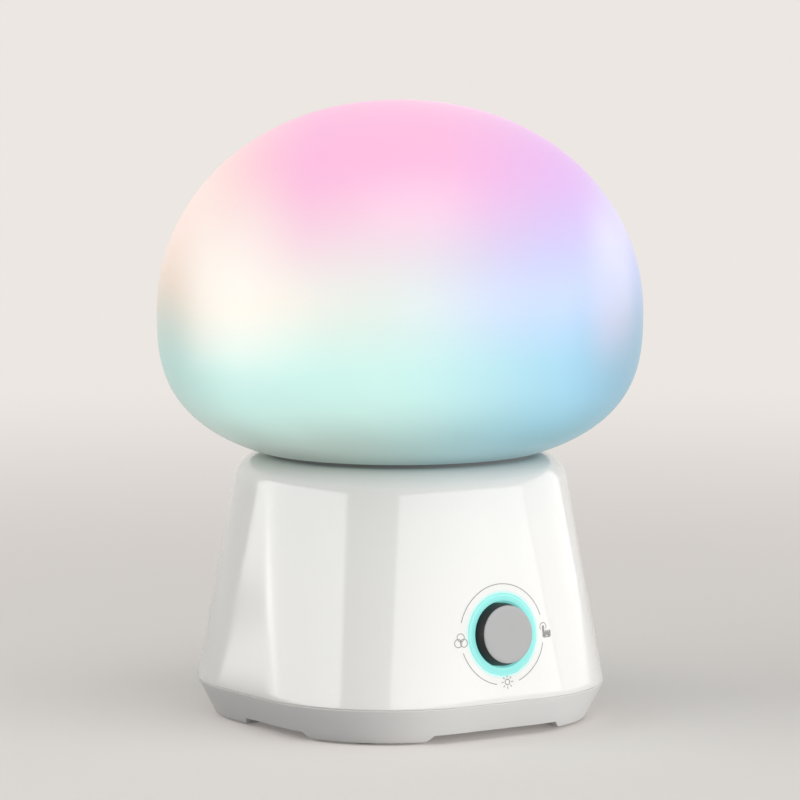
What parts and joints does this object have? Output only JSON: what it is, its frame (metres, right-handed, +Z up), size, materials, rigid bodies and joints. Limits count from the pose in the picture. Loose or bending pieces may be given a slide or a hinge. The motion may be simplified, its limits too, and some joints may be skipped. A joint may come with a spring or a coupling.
{
  "type": "desk night light",
  "caption": "Mushroom-shaped desk night light: a glowing frosted dome on a tapered rounded-square base, with a knob that turns and presses inside a lit ring.",
  "frame": {"origin": "on the table under the middle of the lamp", "axes": "+Z up, -Y out of the face with the knob, +X to the right of that face as seen from outside"},
  "size_m": [0.1208, 0.1208, 0.1537],
  "materials": {
    "dome_frost": "frosted, lit from inside",
    "gasket_rubber": "soft",
    "housing_white": "polished",
    "plinth_grey": "satin",
    "pad_rubber": "soft",
    "screw_steel": "zinc plated",
    "carrier_white": "moulded",
    "spreader_metal": "rolled",
    "light_board_white": "solder mask",
    "light_body": "moulded",
    "light_phosphor": "phosphor gel",
    "socket_cream": "moulded",
    "cradle_black": "moulded",
    "cell_sleeve": "shrink sleeve over the can",
    "contact_nickel": "nickel plated",
    "board_green": "solder mask",
    "chip_black": "moulded",
    "coil_grey": "pressed powder",
    "capacitor_can": "sleeved",
    "inlet_metal": "drawn",
    "inlet_tongue": "moulded",
    "ring_clear": "light pipe, lit",
    "encoder_metal": "plated",
    "encoder_brass": "nickel plated",
    "rotor_plastic": "moulded",
    "knob_dark": "moulded",
    "knob_grey": "satin",
    "cable_white": "sleeved",
    "lead_red": "insulated",
    "lead_black": "insulated"
  },
  "bodies": {
    "root": {"battery_cell_1": "cell_sleeve", "battery_cell_2": "cell_sleeve", "battery_cradle": "cradle_black", "battery_lead_black": "lead_black", "battery_lead_red": "lead_red", "bushing_nut": "encoder_brass", "bushing_washer": "encoder_metal", "capacitors": "capacitor_can", "carrier_screws": "screw_steel", "cell_contacts": "contact_nickel", "colour_leds": "light_body", "control_board": "board_green", "control_board_screws": "screw_steel", "control_cable": "cable_white", "control_plug": "socket_cream", "cradle_screws": "screw_steel", "dome_gasket": "gasket_rubber", "dome_shade": "dome_frost", "driver_chip": "chip_black", "encoder_bushing": "encoder_brass", "encoder_case": "encoder_metal", "foot_pad_1": "pad_rubber", "foot_pad_2": "pad_rubber", "foot_pad_3": "pad_rubber", "foot_pad_4": "pad_rubber", "heat_spreader": "spreader_metal", "housing_screws": "screw_steel", "led_board": "light_board_white", "led_board_screws": "screw_steel", "led_cable": "cable_white", "led_carrier": "carrier_white", "led_connector": "socket_cream", "light_ring": "ring_clear", "lower_plinth": "plinth_grey", "main_board": "board_green", "main_board_screws": "screw_steel", "power_inductor": "coil_grey", "ring_leds": "light_body", "switch_dome": "encoder_metal", "upper_housing": "housing_white", "usb_shell": "inlet_metal", "usb_tongue": "inlet_tongue", "white_leds": "light_phosphor", "wire_sockets": "socket_cream"},
    "rotor": {"encoder_rotor": "rotor_plastic"},
    "knob": {"knob_body": "knob_dark", "knob_cap": "knob_grey", "encoder_shaft": "encoder_metal"}
  },
  "joints": [
    {"name": "knob_turn", "type": "hinge", "parent": "root", "child": "rotor", "pos_m": [0, -0.04463, 0.0258], "axis": [0, -0.9937, 0.112], "continuous": true},
    {"name": "knob_press", "type": "slide", "parent": "rotor", "child": "knob", "axis": [0, 0.9937, -0.112], "range_m": [0, 0.0005], "stiffness_N_per_m": 3000, "springref_m": -0.0005}
  ]
}
